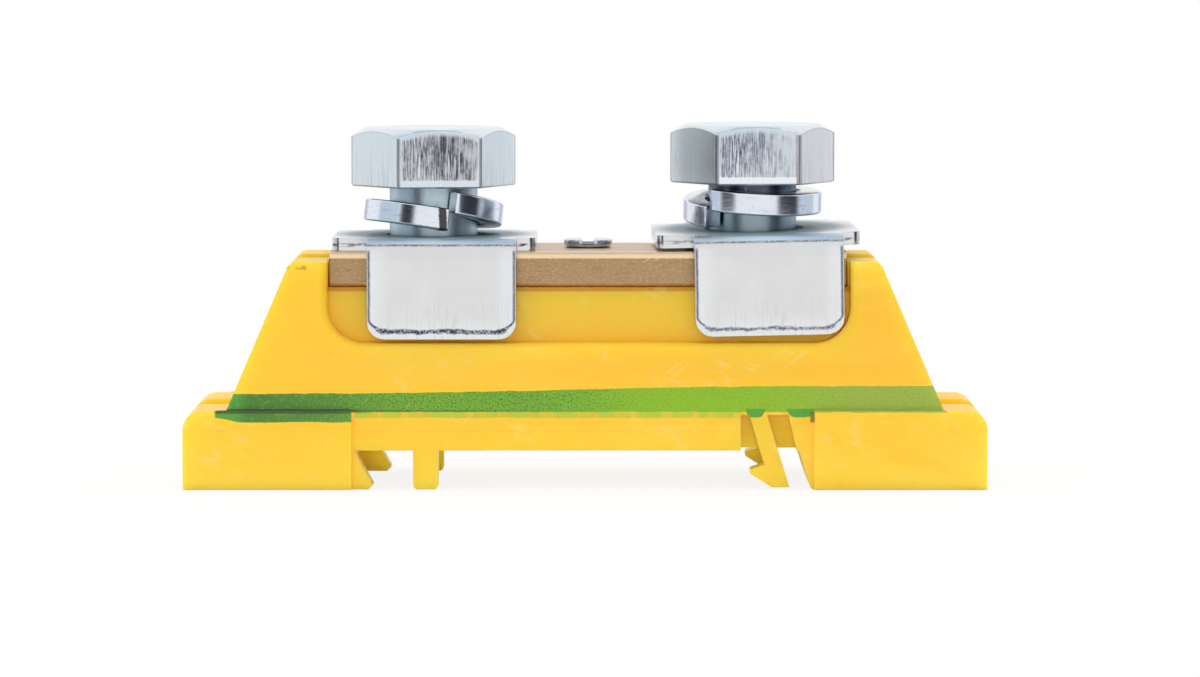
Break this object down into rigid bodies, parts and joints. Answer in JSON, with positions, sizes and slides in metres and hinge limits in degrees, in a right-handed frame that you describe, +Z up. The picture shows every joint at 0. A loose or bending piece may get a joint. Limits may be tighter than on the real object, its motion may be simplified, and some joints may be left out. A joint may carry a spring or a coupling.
{
  "type": "earth terminal block",
  "caption": "Rail-mounted earth terminal block: a moulded carrier with rail hook and latch holds a tapped bar, and bolted saddle clamps on spring washers press conductors on it.",
  "frame": {"origin": "middle of the base, on the surface that the feet stand on", "axes": "+X along the block, towards the spring latch; +Y to the back, along the rail; +Z up, out of the rail"},
  "size_m": [0.072, 0.0206, 0.0324],
  "materials": {
    "yellow_plastic": "satin moulded polyamide with a green painted stripe",
    "bar_brass": "sawn and tumbled, slightly dull",
    "plated_steel": "bright zinc plate with drawing marks"
  },
  "bodies": {
    "base": {"carrier": "yellow_plastic", "earth_bar": "bar_brass", "bar_screw": "plated_steel"},
    "left_saddle": {"left_clamp": "plated_steel", "left_spring_washer": "plated_steel"},
    "left_screw": {"left_bolt": "plated_steel"},
    "right_saddle": {"right_clamp": "plated_steel", "right_spring_washer": "plated_steel"},
    "right_screw": {"right_bolt": "plated_steel"}
  },
  "joints": [
    {"name": "left_clamp_lift", "type": "slide", "parent": "base", "child": "left_saddle", "axis": [0, 0, 1], "range_m": [0, 0.0063]},
    {"name": "left_bolt_turn", "type": "hinge", "parent": "left_saddle", "child": "left_screw", "pos_m": [-0.0138, 0, 0.0266], "axis": [0, 0, 1], "range_deg": [0, 1800]},
    {"name": "right_clamp_lift", "type": "slide", "parent": "base", "child": "right_saddle", "axis": [0, 0, 1], "range_m": [0, 0.0063]},
    {"name": "right_bolt_turn", "type": "hinge", "parent": "right_saddle", "child": "right_screw", "pos_m": [0.0152, 0, 0.0266], "axis": [0, 0, 1], "range_deg": [0, 1800]}
  ],
  "couplings": [
    {"joint": "left_clamp_lift", "follows": "left_bolt_turn", "m_per_rad": 0.00019894},
    {"joint": "right_clamp_lift", "follows": "right_bolt_turn", "m_per_rad": 0.00019894}
  ]
}
